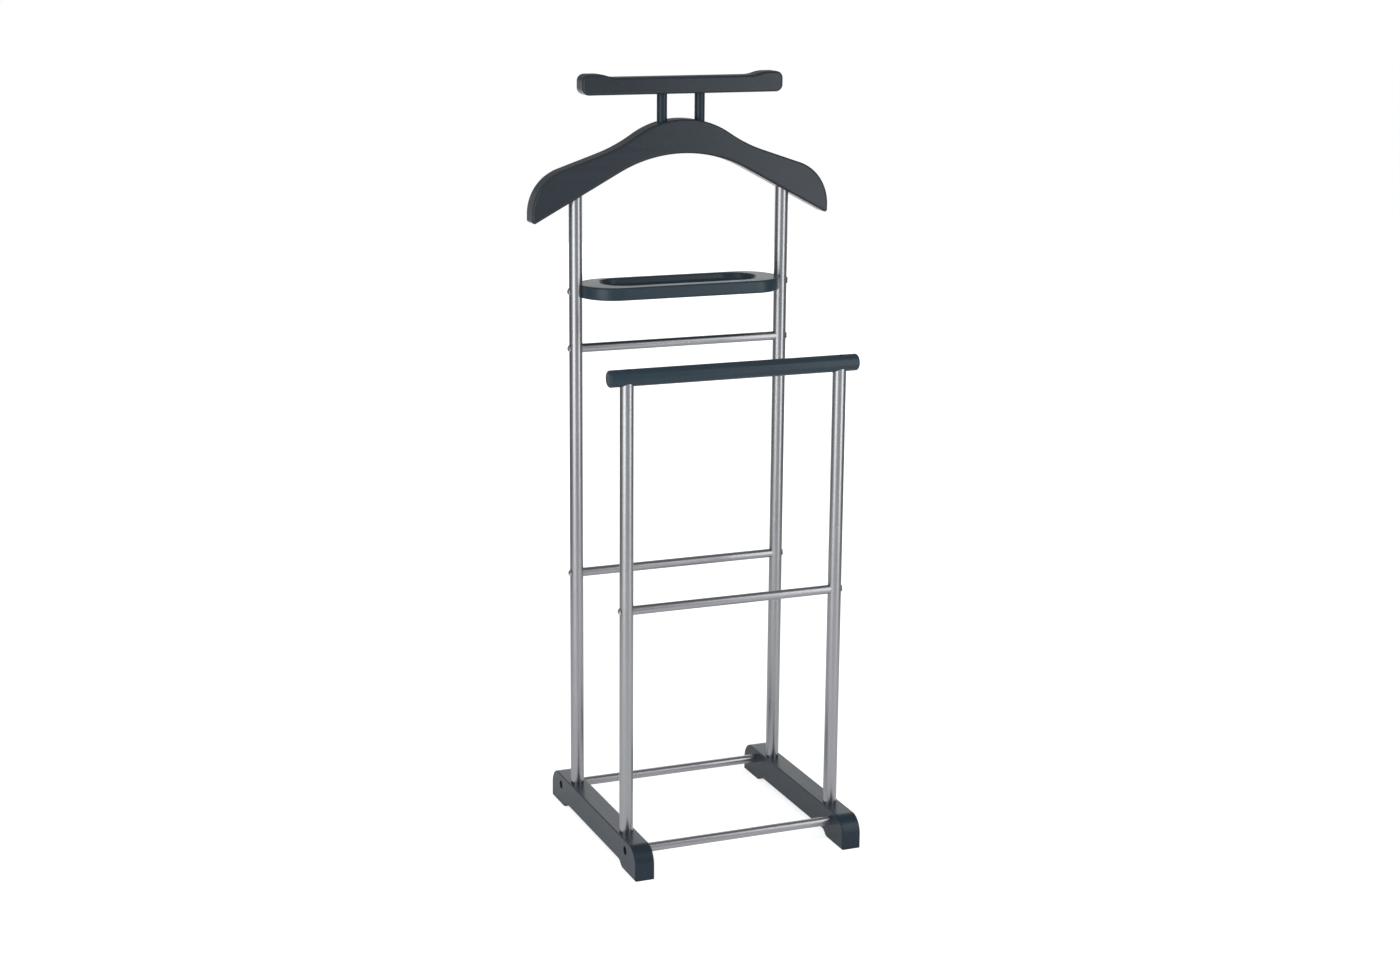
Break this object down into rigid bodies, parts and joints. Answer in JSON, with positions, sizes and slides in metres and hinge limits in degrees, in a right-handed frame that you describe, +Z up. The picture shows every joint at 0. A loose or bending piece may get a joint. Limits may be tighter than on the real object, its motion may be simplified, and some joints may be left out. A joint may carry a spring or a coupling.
{
  "type": "valet stand",
  "caption": "Free-standing clothes valet: a shoulder hanger with a short bar, a small tray, a round trouser bar and thin rails on tubes over two wooden feet.",
  "frame": {"origin": "on the floor at the centre of the two feet", "axes": "+Z up, +X to the right seen from the front, front (trouser bar) towards -Y"},
  "size_m": [0.444, 0.35, 1.0663],
  "materials": {
    "charcoal_wood": "charcoal paint, satin gloss",
    "silver_tube": "silver powder coat, satin",
    "zinc_bolt": "zinc plated",
    "plastic_plug": "black, matte",
    "brass_insert": "plain"
  },
  "bodies": {
    "root": {"left_foot": "charcoal_wood", "right_foot": "charcoal_wood", "tray": "charcoal_wood", "hanger": "charcoal_wood", "hanger_post_left": "charcoal_wood", "hanger_post_right": "charcoal_wood", "top_bar": "charcoal_wood", "trouser_bar": "charcoal_wood", "rear_upright_left": "silver_tube", "rear_upright_right": "silver_tube", "front_upright_left": "silver_tube", "front_upright_right": "silver_tube", "base_rail_rear": "silver_tube", "base_rail_front": "silver_tube", "rear_mid_rail": "silver_tube", "rear_upper_rail": "silver_tube", "front_mid_rail": "silver_tube", "tray_bolts": "zinc_bolt", "rear_upper_rail_bolts": "zinc_bolt", "rear_mid_rail_bolts": "zinc_bolt", "front_mid_rail_bolts": "zinc_bolt", "base_rail_bolts": "zinc_bolt", "foot_upright_bolts": "zinc_bolt", "trouser_bar_screws": "zinc_bolt", "hanger_screws": "zinc_bolt", "post_screws": "zinc_bolt", "upright_foot_plugs": "plastic_plug", "front_upright_top_plugs": "plastic_plug", "rear_upright_top_plugs": "plastic_plug", "base_rail_plugs": "plastic_plug", "rear_mid_rail_plugs": "plastic_plug", "rear_upper_rail_plugs": "plastic_plug", "front_mid_rail_plugs": "plastic_plug", "tray_inserts": "brass_insert"}
  },
  "joints": []
}
